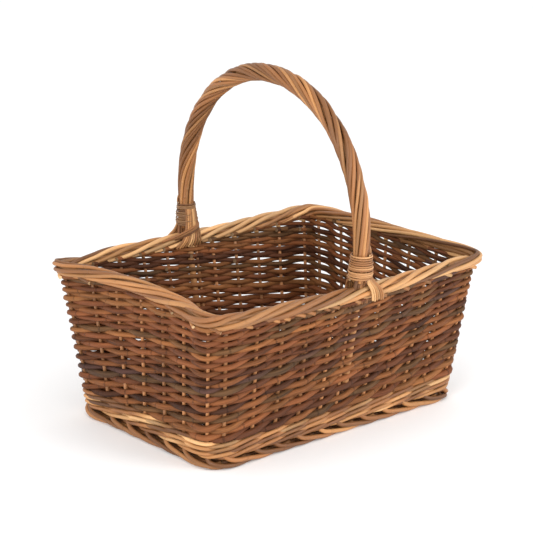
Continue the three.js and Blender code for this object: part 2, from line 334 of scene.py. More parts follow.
# %% [markdown]
# ## A short way to write shader nodes
#
# A willow rod's colour is a sum of small effects: streaks along the grain, blotches, darker
# rings at the buds. Written as nodes and links that is dozens of lines. `Wire` holds one
# output socket and makes a Math node for every `+` or `*`, so that a formula reads like one.

# %% Wrap shader sockets so that formulas read as formulas
class Wire:
    def __init__(self, tree, socket=None):
        self.tree, self.socket = tree, socket

    def node(self, kind, settings=None, output=0, **sockets):
        """Adds a node, makes its settings, and sets or links its inputs.

        An input goes by its name, with _ for a space, or by its number, as i0 or i7."""
        made = self.tree.nodes.new("ShaderNode" + kind)
        for name, value in (settings or {}).items():
            setattr(made, name, value)
        for name, value in sockets.items():
            by_number = name[0] == "i" and name[1:].isdigit()
            target = made.inputs[int(name[1:]) if by_number else name.replace("_", " ")]
            if isinstance(value, Wire):
                self.tree.links.new(value.socket, target)
            else:
                target.default_value = value
        return Wire(self.tree, made.outputs[output])

    def maths(self, operation, first, second=0.0):
        return self.node("Math", {"operation": operation}, i0=first, i1=second)

    def __add__(self, other): return self.maths("ADD", self, other)
    def __radd__(self, other): return self.maths("ADD", other, self)
    def __sub__(self, other): return self.maths("SUBTRACT", self, other)
    def __rsub__(self, other): return self.maths("SUBTRACT", other, self)
    def __mul__(self, other): return self.maths("MULTIPLY", self, other)
    def __rmul__(self, other): return self.maths("MULTIPLY", other, self)

    def lit_by(self, light):
        """This colour multiplied by another colour."""
        settings = {"data_type": "RGBA", "blend_type": "MULTIPLY"}
        return self.node("Mix", settings, output=2, i0=1.0, i6=self, i7=light)

    def ramp(self, *stops):
        """A colour for each value: stops are (value, colour)."""
        made = self.node("ValToRGB", Fac=self)
        elements = made.socket.node.color_ramp.elements
        for element, (position, colour) in zip(elements, (stops[0], stops[-1])):
            element.position, element.color = position, (*colour, 1)
        for position, colour in stops[1:-1]:
            elements.new(position).color = (*colour, 1)
        return made

    def between(self, low, high):
        """0 below low, 1 above high, and smooth between."""
        settings = {"interpolation_type": "SMOOTHSTEP"}
        return self.node("MapRange", settings, Value=self, From_Min=low, From_Max=high)


print("Wire has these operators: + - *")

# %% [markdown]
# ## One recipe for every willow finish
#
# Brown willow keeps its bark, buff willow is boiled and peeled, and split willow shows its
# pale inside. They differ in colour and in strength, but not in kind, so one function makes
# them all, from the same parts:
#
# - a colour picked by the rod's own `kind`, and made darker or lighter by its `tone`;
# - streaks, from noise that is squeezed round the rod and stretched along it;
# - slow blotches along the rod;
# - a bud about every 6 cm, as a thin dark ring.
#
# To keep the noise free of a seam, the share of the way round becomes a circle in space.

# %% Write the recipe
KIND_DRIFT = 0.35  # how far a rod's colour drifts along it
TONE_SPREAD = 0.7  # how much lighter the lightest rod is than the darkest
ROD_SHIFT = 17  # moves the noise from one rod to the next
BUDS_PER_METRE, BUD_SHIFT, BUD_WIDTH = 17, 5, 0.03
RELIEF_HEIGHT = 0.6 * MM


def willow(name, colours, streak, blotch, rough, bump, bud=0.0, gloss=0.4):
    """A finish from a ramp of colours, and the strength of each effect."""
    material = bpy.data.materials.new(name)
    material.use_nodes = True
    tree = material.node_tree
    start = Wire(tree)
    along = start.node("SeparateXYZ", Vector=start.node("UVMap", {"uv_map": "Rod"}))
    turn = Wire(tree, along.socket.node.outputs["Y"])
    angle = turn * (2 * math.pi)
    across = start.maths("COSINE", angle)
    upward = start.maths("SINE", angle)
    tone = start.node("Attribute", {"attribute_name": "tone"}, output="Fac")
    kind = start.node("Attribute", {"attribute_name": "kind"}, output="Fac")

    def grain(round_scale, along_scale, detail, fineness=0.5):
        x = across * round_scale + tone * ROD_SHIFT
        place = start.node("CombineXYZ", X=x, Y=upward * round_scale, Z=along * along_scale)
        return start.node(
            "TexNoise", Vector=place, Scale=1.0, Detail=detail, Roughness=fineness
        )

    streaks = grain(round_scale=3.2, along_scale=45.0, detail=3.0, fineness=0.6)
    blotches = grain(round_scale=0.5, along_scale=22.0, detail=2.0)
    drift = grain(round_scale=0.3, along_scale=6.0, detail=1.0)
    fibres = grain(round_scale=9.0, along_scale=90.0, detail=2.0)

    bud_place = start.maths("FRACT", along * BUDS_PER_METRE + tone * BUD_SHIFT)
    from_bud = start.maths("ABSOLUTE", bud_place - 0.5)
    ring = 1.0 - (from_bud + (streaks - 0.5) * 0.03).between(0.0, BUD_WIDTH)
    ring = ring * (across + blotches).between(0.2, 0.9)

    base = (kind + (drift - 0.5) * KIND_DRIFT).ramp(*colours)
    light = 1.0 + (streaks - 0.5) * streak + (blotches - 0.5) * blotch
    light = (light + (tone - 0.5) * TONE_SPREAD) * (1.0 - ring * bud)
    colour = base.lit_by(start.node("CombineColor", Red=light, Green=light, Blue=light))
    roughness = rough + (streaks - 0.5) * 0.25 + (blotches - 0.5) * 0.15
    height = fibres * 0.6 + streaks * 0.8 + ring * 1.2
    relief = start.node("Bump", Height=height, Strength=bump, Distance=RELIEF_HEIGHT)

    surface = tree.nodes["Principled BSDF"]
    surface.inputs["Specular IOR Level"].default_value = gloss
    tree.links.new(colour.socket, surface.inputs["Base Color"])
    tree.links.new(roughness.socket, surface.inputs["Roughness"])
    tree.links.new(relief.socket, surface.inputs["Normal"])
    print(f"{name}: {len(tree.nodes)} nodes")
    return material

# %% [markdown]
# ## The finishes
#
# Bark is dull, and goes from red-brown through ochre and olive to purple-grey from rod to
# rod. Peeled buff is a warm tan with a soft shine. A skein is a strip of split willow. A cut
# end shows pith, paler and rougher than any bark. The colours are written as numbers that
# add like light, so they look darker here than on screen.

# %% Mix the finishes
BARK_COLOURS = (
    (0.00, (0.070, 0.024, 0.010)),
    (0.18, (0.150, 0.048, 0.017)),
    (0.36, (0.190, 0.064, 0.021)),
    (0.54, (0.228, 0.086, 0.027)),
    (0.68, (0.150, 0.066, 0.023)),
    (0.84, (0.100, 0.050, 0.021)),
    (1.00, (0.068, 0.030, 0.022)),
)
BUFF_COLOURS = (
    (0.00, (0.150, 0.058, 0.019)),
    (0.30, (0.285, 0.117, 0.039)),
    (0.65, (0.430, 0.205, 0.073)),
    (1.00, (0.620, 0.360, 0.160)),
)
STAKE_COLOURS = ((0.0, (0.38, 0.155, 0.058)), (1.0, (0.50, 0.235, 0.098)))
SKEIN_COLOURS = ((0.0, (0.22, 0.092, 0.032)), (1.0, (0.49, 0.255, 0.108)))
PITH_COLOURS = ((0.0, (0.50, 0.32, 0.16)), (1.0, (0.68, 0.48, 0.27)))
DULL_COLOURS = ((0.0, (0.22, 0.13, 0.065)), (1.0, (0.33, 0.21, 0.11)))
bark = willow(
    "bark_willow", BARK_COLOURS,
    streak=1.7, blotch=1.2, rough=0.6, bump=0.9, bud=0.4, gloss=0.2,
)
buff = willow(
    "buff_willow", BUFF_COLOURS,
    streak=0.6, blotch=0.6, rough=0.44, bump=0.6, bud=0.12, gloss=0.38,
)
stake_willow = willow(
    "stake_willow", STAKE_COLOURS, streak=0.3, blotch=0.3, rough=0.4, bump=0.3, bud=0.1
)
skein = willow("split_willow", SKEIN_COLOURS, streak=0.6, blotch=0.4, rough=0.45, bump=0.5)
cut_end = willow("cut_end", PITH_COLOURS, streak=0.3, blotch=0.2, rough=0.6, bump=0.2)
dull_end = willow("dull_cut_end", DULL_COLOURS, streak=0.4, blotch=0.3, rough=0.7, bump=0.2)

# %% [markdown]
# ## The stakes
#
# The stakes are the basket's ribs. On the real basket they are the long ends of the base
# sticks, bent up. They could be drawn as one rod each, from under the base to the rim, but
# the bends would never be seen. So each is a straight tapering rod from the foot to the
# rim. Between the rounds of weaving only a small bump of each one shows.

# %% Stand the stakes
STAKE_BUTT, STAKE_TIP, STAKE_RINGS = 2.4 * MM, 2.0 * MM, 12


def straight(start, end, count):
    return start + (end - start) * np.linspace(0, 1, count)[:, None]


stakes = Rods(facets=10)
stake_taper = np.linspace(STAKE_BUTT, STAKE_TIP, STAKE_RINGS)
for foot_point, top_point in zip(stake_feet, stake_tops):
    stakes.add(straight(foot_point, top_point, STAKE_RINGS), stake_taper)
stakes_piece = stakes.build("stakes", stake_willow, cut_end)
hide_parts(*stake_nodes)

# %% [markdown]
# ## The path of a weaving rod
#
# The sides are a French rand. One rod starts behind each stake. Each goes in front of the
# next stake, behind the one after, and climbs half a row at every stake. So on every stake
# a rod lies in front at each whole row, and one lies behind at each half row.
#
# In and out is a cosine wave, with a little of a faster one added, so that the rod bends
# closer round each stake. The butts are at the bottom, so the rows get thinner and
# closer towards the rim.

# %% Follow a rod from stake to stake
ROWS = 14
WALL_LOW = (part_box("wall_front")[0].z - stake_feet[0, 2]) / STAKE_LENGTH
WALL_HIGH = 1.02
CROWDING = 0.24  # how much closer than the average the highest rows are
SWING = 3.85 * MM
CLOSENESS = 0.1
PER_GAP = 8
LOOSENESS = 0.35 * MM
TUCK_LENGTH, TUCK_DEPTH = 9 * MM, 1.5 * MM


def row_height(row):
    """Height of a row: rows stand further apart at the bottom than at the top."""
    share = np.clip(row / ROWS, 0.0, 1.0)
    crowded = (1 + CROWDING) * share - CROWDING * share**2
    return WALL_LOW + (WALL_HIGH - WALL_LOW) * crowded


def weaver_path(stake, half_row, gaps):
    """From a crossing, gaps stakes onwards. Even half rows lie in front of their stake."""
    count = gaps * PER_GAP + 1
    t = np.arange(count) / PER_GAP
    side = 1 if half_row % 2 else -1
    swing = (np.cos(np.pi * t) + CLOSENESS * np.cos(3 * np.pi * t)) * side
    row = half_row / 2 + t / 2 + smooth_noise(count, PER_GAP, 0.05)
    return stake + t, row, swing * SWING + smooth_noise(count, PER_GAP, LOOSENESS)


def tuck_ends(path, inwards):
    """Lets both ends of a rod lie loosely inside, past the stakes that they end at."""
    first, last = unit(path[0] - path[1]), unit(path[-1] - path[-2])
    start = path[0] + first * TUCK_LENGTH + inwards[0] * TUCK_DEPTH
    end = path[-1] + last * TUCK_LENGTH + inwards[-1] * TUCK_DEPTH
    return np.vstack([start, path, end])


row_heights = row_height(np.arange(ROWS + 1)) * STAKE_LENGTH / MM
print("distance between rows, in mm:", np.round(np.diff(row_heights), 1))

# %% [markdown]
# ## The bark of a weaving rod
#
# A bundle of brown willow is never one colour. The weaver takes rods as they come, mostly
# red-brown. Here more of the olive ones go to the top and the bottom of the wall. Each rod
# gets a `kind` of its own, which its finish looks up in the ramp of bark colours.

# %% Choose each rod's bark
RED_BROWN, OLIVE, PURPLE_GREY = (0.0, 0.58), (0.66, 0.84), (0.92, 1.0)
PURPLE_SHARE = 0.06


def bark_kind(share):
    """The kind of a rod at a share of the wall's height."""
    olive_share = 0.12 + 0.65 * abs(2 * share - 1) ** 3
    pick = rng.random()
    if pick < olive_share:
        return rng.uniform(*OLIVE)
    if pick > 1 - PURPLE_SHARE:
        return rng.uniform(*PURPLE_GREY)
    return rng.uniform(*RED_BROWN)


print("kinds of bark:", RED_BROWN, OLIVE, PURPLE_GREY)

# %% [markdown]
# ## Weaving the sides
#
# We could follow one rod at a time from the bottom, as the weaver does. It is easier to
# mark every crossing, at (stake, half-row), and to walk from crossing to crossing until
# the rod runs out or meets one that is marked. Rods end inside the basket, behind a stake,
# where the weaver hides them.

# %% Weave the sides
BUTT_RADIUS, TAPER = 3.75, 1.1  # in mm
SIDE_STARTS = {"front": 0, "right": 11, "back": 18, "left": 29}
weaves = {side_name: Rods() for side_name in SIDE_STARTS}


def side_of(stake):
    for side_name, first in SIDE_STARTS.items():
        if first <= stake % STAKES < first + SIDE_STAKES[side_name]:
            return side_name
    return "front"


def add_weaver(stake, half_row, gaps):
    place, row, swing = weaver_path(stake, half_row, gaps)
    height = row_height(row)
    path = on_side(place, height, swing)
    inwards = on_side(place, height, swing - 1.0) - path
    share = np.clip(np.append(np.insert(row, 0, row[0]), row[-1]) / ROWS, 0, 1)
    radius = (BUTT_RADIUS - TAPER * share) * rng.normal(1.0, 0.08) * MM
    kind = bark_kind(row.mean() / ROWS)
    weaves[side_of(stake)].add(tuck_ends(path, inwards), radius, kind)


taken = set()
weaver_count = 0
for half_row in range(0, 2 * ROWS + 1):
    for stake in range(STAKES):
        if (stake, half_row) in taken or (half_row % 2 and half_row > 1):
            continue
        longest = int(rng.integers(10, 17)) * 2
        gaps = 0
        while gaps < longest and half_row + gaps < 2 * ROWS:
            here = ((stake + gaps) % STAKES, half_row + gaps)
            if here in taken:
                break
            taken.add(here)
            gaps += 1
        if gaps:
            add_weaver(stake, half_row, gaps)
            weaver_count += 1
for side_name, weave in weaves.items():
    weave_piece = weave.build(f"weave_{side_name}", bark, dull_end)
    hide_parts(f"wall_{side_name}")
print(weaver_count, "weaving rods")

# %% [markdown]
# ## A path through a few chosen points
#
# The weave repeats, so a formula draws it. The foot, the rim's ends and the rods round the
# handle's feet go where a basket maker's hands put them. For those we write a few points
# and let a Catmull-Rom spline pass smoothly through all of them.

# %% Draw a smooth line through a few points
def through(points, per_span=8):
    points = np.array(points, float)
    before = 2 * points[0] - points[1]
    after = 2 * points[-1] - points[-2]
    p = np.vstack([before, points, after])
    t = (np.arange(per_span) / per_span)[:, None]
    spans = []
    for a, b, c, d in zip(p, p[1:], p[2:], p[3:]):
        curve = 2 * b + (c - a) * t + (2 * a - 5 * b + 4 * c - d) * t**2
        spans.append((curve + (3 * b - a - 3 * c + d) * t**3) / 2)
    return np.vstack([*spans, points[-1:]])


def near_side(points, stake):
    """Points of (stakes on, height in mm from the stakes' feet, mm outwards), made smooth."""
    line = through(points)
    return on_side(stake + line[:, 0], up(line[:, 1] * MM), line[:, 2] * MM)


print("three points become", len(through([(0, 0), (1, 1), (2, 0)])))

# %% [markdown]
# ## The wale
#
# Above the foot comes a wale, three rows of fine buff rods that grip the stakes. Three rods
# are worked at once. Each goes in front of two stakes and behind one, and the three take
# turns, so the row looks like a rope.
#
# One wave does that: it stays outside for two stakes and dips inside for one. On the
# way across the front a rod climbs, and behind the stake it drops back down. Three rods a
# third of the pattern apart then pass over each other without any further care.

# %% Weave the wale
WALE_ROWS = (3.4, 9.6, 15.8)
WALE_RODS = 3
WALE_SWING, WALE_SLANT, WALE_CLIMB = 3.9, 1.5, 2.9
wale = Rods()
for row, row_z in enumerate(WALE_ROWS):
    for rod in range(WALE_RODS):
        start = rod + 5 * row + 1
        place = start + np.arange(0, STAKES + 1.01, 1 / PER_GAP)
        phase = 2 * np.pi * (place - start) / WALE_RODS
        two_out_one_in = np.tanh(1.1 * (0.33 - 1.33 * np.cos(phase)))
        swing = two_out_one_in * WALE_SWING - WALE_SLANT * np.sin(phase)
        swing = swing + smooth_noise(len(place), 20, 0.25)
        climb = -WALE_CLIMB * np.sin(phase) + smooth_noise(len(place), 16, 0.4)
        path = on_side(place, up((row_z + climb) * MM), swing * MM)
        kind = np.clip(0.45 + smooth_noise(len(place), 14, 0.4), 0, 1)
        wale.add(path, rng.uniform(2.1, 2.5) * MM, kind)
wale_piece = wale.build("wale", buff, cut_end)
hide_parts(*(f"wale_{side_name}" for side_name in SIDE_STARTS))

# %% [markdown]
# ## The foot
#
# The foot is a border of the thickest rods. At every stake one comes down out of the wale,
# bends, runs on along the bottom edge outside two stakes, and is tucked in under the next
# rods. Basket makers often push such a foot on afterwards, so that it can be replaced when
# it wears. Its lowest rods just touch the floor.
#
# One loop is drawn and repeated at every stake, a little differently each time. Three
# rods run round behind the loops. They stand for all that is tucked in there, so that no
# daylight shows through the foot. Their darkest buff is painted shade in that gap.

# %% Loop the foot's rods
FLOOR = -stake_feet[0, 2] / MM
FOOT_LOOP = (
    # stakes on, mm above the floor, mm outwards
    (0.30, 9.6, 4.6),
    (0.80, 6.6, 5.6),
    (1.40, 3.4, 4.8),
    (2.00, 2.9, 1.6),
    (2.50, 3.6, -2.6),
    (2.90, 5.6, -5.2),
)
FOOT_BUTT, FOOT_TIP = 2.9, 2.2
HIDDEN_RODS, HIDDEN_RADIUS = ((-6.5, 3.4), (-7.5, 9.0), (-6.5, 14.2)), 3.0 * MM
foot = Rods(facets=10)
for stake in range(STAKES):
    lift = rng.normal(0, 0.4)
    line = [(-0.12, 7.0, -2.5), (0.05, 1.5 + lift, 1.2)]
    for n, (onwards, height, out) in enumerate(FOOT_LOOP):
        line.append((onwards, FLOOR + height + (lift if n < 2 else 0), out))
    path = near_side(line, stake + rng.normal(0, 0.04))
    radius = np.linspace(FOOT_BUTT, FOOT_TIP, len(path)) * rng.normal(1, 0.04) * MM
    path[:, 2] = np.maximum(path[:, 2], radius)
    foot.add(path, radius, kind=rng.random() * 0.6)
# kind 0.0 is the darkest buff: painted shade behind the foot's loops
for out, height in HIDDEN_RODS:
    place = np.arange(0, STAKES + 0.1, 1 / 4)
    foot.add(on_side(place, up((FLOOR + height) * MM), out * MM), HIDDEN_RADIUS, kind=0.0)
foot_piece = foot.build("foot_border", buff, cut_end)
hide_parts(*(f"foot_border_{side_name}" for side_name in SIDE_STARTS))

# %% [markdown]
# ## The rim
#
# At the top the stakes themselves become the border. Each is bent to the right, and rolled
# round a core with the ones before it: out under the border, up its outside, over the top,
# down the inside and out again below, where its tip is cut. One strand takes five to
# eight stakes for that turn, so as many lie side by side, and the border is a fat rope.
#
# A twisted ring with a rope pattern would look the same all the way round. Rolling each
# stake on its own gives the border its tapers, its cut tips and its uneven edge.

# %% Roll the stakes into the rim
RIM_MIDDLE = STAKE_LENGTH / MM + 9.2
ROLL_WIDTH, ROLL_HEIGHT = 7.2, 6.6
ROLL_TURNS = 1.04
LONG_ROLL = (5.5, 3.1, 2.3)  # stakes for one turn, radius at the butt and at the tip
SHORT_ROLL = (8, 2.4, 1.75)
CORE_OFFSET, CORE_RADIUS = 2.2, 3.0 * MM
CORNER_PLACES = (10.5, 17.5, 28.5, 35.5)
CORNER_PUSH, CORNER_REACH = 4.0, 0.45


def corner_push(place):
    """How far the rim stands out at a corner, in mm: most half-way between its two stakes."""
    push = 0.0
    for corner in CORNER_PLACES:
        away = (place - corner + STAKES / 2) % STAKES - STAKES / 2
        push = push + CORNER_PUSH * np.exp(-((away / CORNER_REACH) ** 2))
    return push


def rolled_line(stake, stakes_a_turn):
    """A stake's way round the rim: places, mm up from the stakes' feet, mm outwards."""
    turn = np.linspace(0.0, ROLL_TURNS, 56)
    angle = 2 * np.pi * (turn + smooth_noise(len(turn), 12, 0.02))
    place = stake + 0.1 + stakes_a_turn * turn + rng.normal(0, 0.08)
    swell = 1 + smooth_noise(len(turn), 14, 0.05)
    out = ROLL_WIDTH * np.sin(angle) * swell
    height = RIM_MIDDLE - ROLL_HEIGHT * np.cos(angle) * swell
    start = [[stake, RIM_MIDDLE - 13, 0.0], [stake + 0.03, RIM_MIDDLE - 9.5, 0.2]]
    tip = stake + stakes_a_turn * ROLL_TURNS
    end = [[tip + 0.22, RIM_MIDDLE - 8.6, 5.0], [tip + 0.36, RIM_MIDDLE - 10.2, 6.8]]
    line = np.vstack([start, np.stack([place, height, out], axis=1)[1:], end])
    line[:, 2] += corner_push(line[:, 0])
    return line


rim = Rods(facets=10)
for core in range(2):
    place = core * 9 + np.arange(0, STAKES + 1.1, 1 / 4)
    angle = place * 1.1 + core * np.pi
    height = RIM_MIDDLE + CORE_OFFSET * np.cos(angle)
    out = CORE_OFFSET * np.sin(angle) + corner_push(place)
    rim.add(on_side(place, up(height * MM), out * MM), CORE_RADIUS)
for stake in range(STAKES):
    rolls_on = side_of(stake + 4)
    stakes_a_turn, butt, tip = LONG_ROLL if rolls_on in ("front", "back") else SHORT_ROLL
    line = rolled_line(stake, stakes_a_turn)
    path = on_side(line[:, 0], up(line[:, 1] * MM), line[:, 2] * MM)
    radius = np.linspace(butt, tip, len(line)) * rng.normal(1, 0.07) * MM
    # Strands that roll on over the left side take only the darker kinds. This is painted
    # shade, to tone down the fill lamp's light on that side.
    painted_shade_cap = 0.6 if rolls_on == "left" else 1.0
    rim.add(path, radius, kind=rng.random() * painted_shade_cap)
rim_piece = rim.build("rim_border", buff, cut_end)
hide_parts(*(f"rim_border_{side_name}" for side_name in SIDE_STARTS))

# %% [markdown]
# ## The sticks of the base
#
# Nobody looks under a basket, but a stranger who picks this one up will. Three sticks run
# the length of the base. They lie just where the frame has them, so the middle of each
# one's box is enough to place it.

# %% Lay the sticks
STICK_NODES = [f"base_stick_{n:02d}" for n in (1, 2, 3)]
STICK_RADIUS = 2.9 * MM
base_low, base_high = (np.array(corner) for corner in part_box("base_mat"))
stick_y = [sum(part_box(node), Vector()).y / 2 for node in STICK_NODES]
base_z = (base_low[2] + base_high[2]) / 2
sticks = Rods(facets=10)
for y in stick_y:
    ends = np.array([[base_low[0] + 1 * MM, y, base_z], [base_high[0] - 1 * MM, y, base_z]])
    sticks.add(straight(*ends, 24), STICK_RADIUS)
stick_piece = sticks.build("base_sticks", stake_willow, cut_end)
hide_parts(*STICK_NODES)

# %% [markdown]
# ## The mat of the base
#
# Rods are woven across the sticks, over and under in turn. A cosine that changes sign from
# one stick to the next does it, and every other rod starts on the other side. At the ends
# of the base the rods get shorter, because its corners are round.

# %% Weave the mat
MAT_ROD_RADIUS, MAT_SPACING = 2.1 * MM, 4.3 * MM
CORNER_LENGTH, CORNER_CUT = 12 * MM, 0.8
mat = Rods()
mat_rods = int((base_high[0] - base_low[0]) / MAT_SPACING)
edge_y = base_high[1] - 2 * MM
for n, x in enumerate(np.linspace(base_low[0] + 3 * MM, base_high[0] - 3 * MM, mat_rods)):
    into_corner = max(abs(x) - (base_high[0] - CORNER_LENGTH), 0)
    reach = edge_y - into_corner * CORNER_CUT
    y = np.linspace(-reach, reach, 56)
    over = np.cos(np.pi * y / stick_y[2]) * (1 if n % 2 else -1)
    z = base_z + over * (STICK_RADIUS + MAT_ROD_RADIUS * 0.75)
    bend = x + smooth_noise(len(y), 12, 0.5 * MM)
    radius = MAT_ROD_RADIUS * rng.normal(1, 0.07)
    mat.add(np.stack([bend, y, z], axis=1), radius, kind=rng.random())
mat_piece = mat.build("base_mat_rods", bark, cut_end)
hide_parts("base_mat")

# %% [markdown]
# ## The line of the handle
#
# A thick rod, the bow, is pushed down into the sides beside both middle stakes and bent
# over. It carries the load. We need its line first, from the front foot over to the back:
# in line with the stakes up to the rim, then upright to the top of the bindings, and then
# an arch a little squarer than an ellipse. A curve with a few handles could be bent to look
# like it, but a formula can also tell where a leg stands at any height.

# %% Draw the line of the handle
RIM_SEAT = 9 * MM  # above the stakes' tops, where the legs begin to stand up
SPRING_LIFT = 12 * MM  # above the bindings, where the arch begins
FULLNESS = 2.05  # 2 is an ellipse, and more is squarer
BOW_RADIUS = 4.4 * MM
bow_low = np.array(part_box("handle_bow")[0])
wrap_high = np.array(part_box("handle_wrap")[1])
tie_low, tie_high = (np.array(corner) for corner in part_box("handle_binding_back"))
ROPE_RADIUS = wrap_high[0]
arch_reach = wrap_high[1] - ROPE_RADIUS
arch_top = wrap_high[2] - ROPE_RADIUS
spring = tie_high[2] + SPRING_LIFT
back_foot, back_top = stake_feet[MIDDLE_STAKES[1]], stake_tops[MIDDLE_STAKES[1]]


def leg_reach(z):
    """How far from the middle a leg of the handle stands at a height."""
    lean = (back_top[1] - back_foot[1]) / (back_top[2] - back_foot[2])
    rim_z = back_top[2] + RIM_SEAT
    t = np.clip((z - rim_z) / (spring - rim_z), 0, 1)
    low = back_foot[1] + lean * (np.minimum(z, rim_z) - back_foot[2])
    to_arch = arch_reach - (back_foot[1] + lean * (rim_z - back_foot[2]))
    bend = lean * (spring - rim_z) * t * (1 - t) ** 2
    return low + to_arch * t * t * (3 - 2 * t) + bend


def evenly(path, count):
    """The same path with count points, all the same distance apart."""
    steps = np.linalg.norm(np.diff(path, axis=0), axis=1)
    along = np.append(0, np.cumsum(steps))
    at = np.linspace(0, along[-1], count)
    return np.stack([np.interp(at, along, path[:, k]) for k in range(3)], axis=1)


def handle_line(low_z, count):
    """From the front foot at a height, over the top, to the back foot at that height."""
    leg_z = np.linspace(low_z, spring, 60)
    angle = np.linspace(0, np.pi / 2, 90)[1:]
    arch_y = arch_reach * np.maximum(np.cos(angle), 0) ** (2 / FULLNESS)
    arch_z = spring + (arch_top - spring) * np.sin(angle) ** (2 / FULLNESS)
    y, z = np.append(leg_reach(leg_z), arch_y), np.append(leg_z, arch_z)
    half = np.stack([np.zeros(len(z)), y, z], axis=1)
    front = half * [1, -1, 1]
    return evenly(np.vstack([front, half[::-1][1:]]), count)


bow = Rods(facets=12)
bow.add(handle_line(bow_low[2], 160), BOW_RADIUS)
bow_piece = bow.build("bow", buff, cut_end)
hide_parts("handle_bow")

# %% [markdown]
# ## The rope round the bow
#
# Thirteen rods are twisted round the bow. They run almost straight at the feet of the handle
# and twist harder over the top. A rod's place round the bow is an angle that grows with the
# distance along it.
#
# The directions to measure the angle from are easy, as the bow lies in the plane x = 0: one
# is X, and the other is across both X and the bow's own direction.

# %% Twist the rods round the bow
ROPE_RODS = 13
TWIST_PITCH = 175 * MM
FOOT_TWIST = 0.3  # the twist at the feet, as a share of that over the top
FOOT_NARROWING = 1.3 * MM


def smooth_rise(distance, start, length):
    """0 up to the start, 1 a length beyond it, and smooth between."""
    t = np.clip((distance - start) / length, 0, 1)
    return t * t * (3 - 2 * t)


rope_line = handle_line(tie_low[2] - 2 * MM, 260)
rope_side = np.broadcast_to([1.0, 0.0, 0.0], rope_line.shape)
rope_up = np.cross(unit(np.gradient(rope_line, axis=0)), rope_side)
rope_steps = np.linalg.norm(np.diff(rope_line, axis=0), axis=1)
rope_along = np.append(0, np.cumsum(rope_steps))
from_end = np.minimum(rope_along, rope_along[-1] - rope_along)
turning = FOOT_TWIST + (1 - FOOT_TWIST) * smooth_rise(from_end, 30 * MM, 90 * MM)
rope_turn = 2 * np.pi * np.append(0, np.cumsum(rope_steps * turning[1:])) / TWIST_PITCH
narrow = FOOT_NARROWING * (1 - np.clip((from_end - 20 * MM) / (60 * MM), 0, 1))
rope = Rods(facets=10)
for rod in range(ROPE_RODS):
    wander = smooth_noise(len(rope_line), 40, 0.11)
    angle = 2 * np.pi * rod / ROPE_RODS + rope_turn + wander
    thick = rng.uniform(1.8, 2.4) * (1 + smooth_noise(len(rope_line), 60, 0.06)) * MM
    sunk = np.abs(smooth_noise(len(rope_line), 30, 0.6 * MM))
    away = ROPE_RADIUS - thick - narrow - sunk
    spoke = rope_side * np.cos(angle)[:, None] + rope_up * np.sin(angle)[:, None]
    rope.add(rope_line + spoke * away[:, None], thick, kind=0.12 + 0.85 * rng.random())
print("the rope is", round(rope_along[-1] / MM), "mm long")

# %% [markdown]
# ## Where the rope meets the rim
#
# Below the bindings the rods of the rope spread out and hold on to the rim. A fan of nine
# runs down over the inside of the rim and leans to one side. Six lie flat over the outside
# and are cut off at its lower edge. Six go straight down behind the rim's outer strands, and
# three come up from the rim and cross under the binding.
#
# Both feet of the handle are the same, seen from outside. So they are drawn once, in
# millimetres: to the right along the rim, outwards, and up from the rim's middle.

# %% Spread the rods over the rim
STRAIGHT_DOWN = (-9.0, -4.5, 0.0, 4.5, 8.5, 12.0)  # mm to the right


def at_foot(way, points):
    """Points (right, outwards, up) from the middle of the rim, seen from outside."""
    line = through(points, 6) * MM
    middle = (RIM_MIDDLE * MM) + stake_feet[0, 2] - 4 * MM
    out = leg_reach(middle) + line[:, 1]
    return np.stack([-way * line[:, 0], way * out, middle + line[:, 2]], axis=1)


def inner_rod(t):
    """t goes from 0 at the left of the fan to 1 at its right."""
    bulge = 3.5 * math.sin(math.pi * t)
    return [
        (-7.0 + 14.0 * t, -5.0 - bulge, 40),
        (-8.0 + 16.0 * t, -6.5 - bulge, 29),
        (-9.5 + 19.0 * t, -8.0 - bulge, 17),
        (-9.5 + 22.5 * t, -10.8, 9),
        (-9.5 + 30.0 * t, -12.6, 0.5),
        (-9.5 + 37.0 * t, -10.6, -7.0),
    ]


def outer_rod(n):
    return [
        (0.5 + 1.3 * n, 9.4 - 0.8 * n, 38),
        (2.0 + 1.6 * n, 10.4 - 0.8 * n, 26),
        (4.5 + 2.2 * n, 10.8 - 0.6 * n, 14),
        (9.0 + 2.8 * n, 11.4 - 0.2 * n, 6),
        (11.0 + 3.1 * n, 11.9, -1),
        (12.0 + 3.2 * n, 11.2, -8.5 - rng.uniform(0, 2)),
    ]


def straight_rod(right):
    return [(right * 0.8, 5.5, 22), (right, 4.0, 10), (right * 1.1, 1.5, -2), (right, 0, -14)]


def crossing_rod(n):
    return [
        (36 + 5 * n, -4.0, 3.5),
        (24 + 3 * n, -8.5, 5 + 1.5 * n),
        (12 + 2 * n, -12.4, 8.5 + 2.2 * n),
        (1, -13.4, 12.5 + 2.6 * n),
        (-8.0, -10.0, 15.0 + 2.6 * n),
        (-10.5, -3.5, 17.0 + 2 * n),
    ]


def spread(way, points, thinnest, thickest, darkest, kinds):
    """Adds a rod at a foot, with a radius in mm and a kind from the ranges given."""
    radius = rng.uniform(thinnest, thickest) * MM
    rope.add(at_foot(way, points), radius, kind=darkest + kinds * rng.random())


for way in (-1, 1):
    for n in range(9):
        spread(way, inner_rod(n / 8), 1.05, 1.35, 0.3, 0.7)
    for n in range(6):
        spread(way, outer_rod(n), 1.25, 1.6, 0.4, 0.6)
    for right in STRAIGHT_DOWN:
        spread(way, straight_rod(right), 1.9, 2.3, 0.0, 0.5)
    for n in range(3):
        spread(way, crossing_rod(n), 1.2, 1.5, 0.0, 1.0)
rope_piece = rope.build("handle_rope", buff, cut_end)
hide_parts("handle_wrap")

# %% [markdown]
# ## The bindings
#
# A skein is a willow rod split and shaved into a thin flat strip. Eleven turns of it bind the
# rods at each foot of the handle, a little wider at the bottom, where the rods spread. The
# end of the skein is tucked under at the top.
#
# A pile of rings would look almost the same, but the strip is one piece, so it is drawn as
# one: a spiral round the line of the leg, with its flat side turned to the leg.

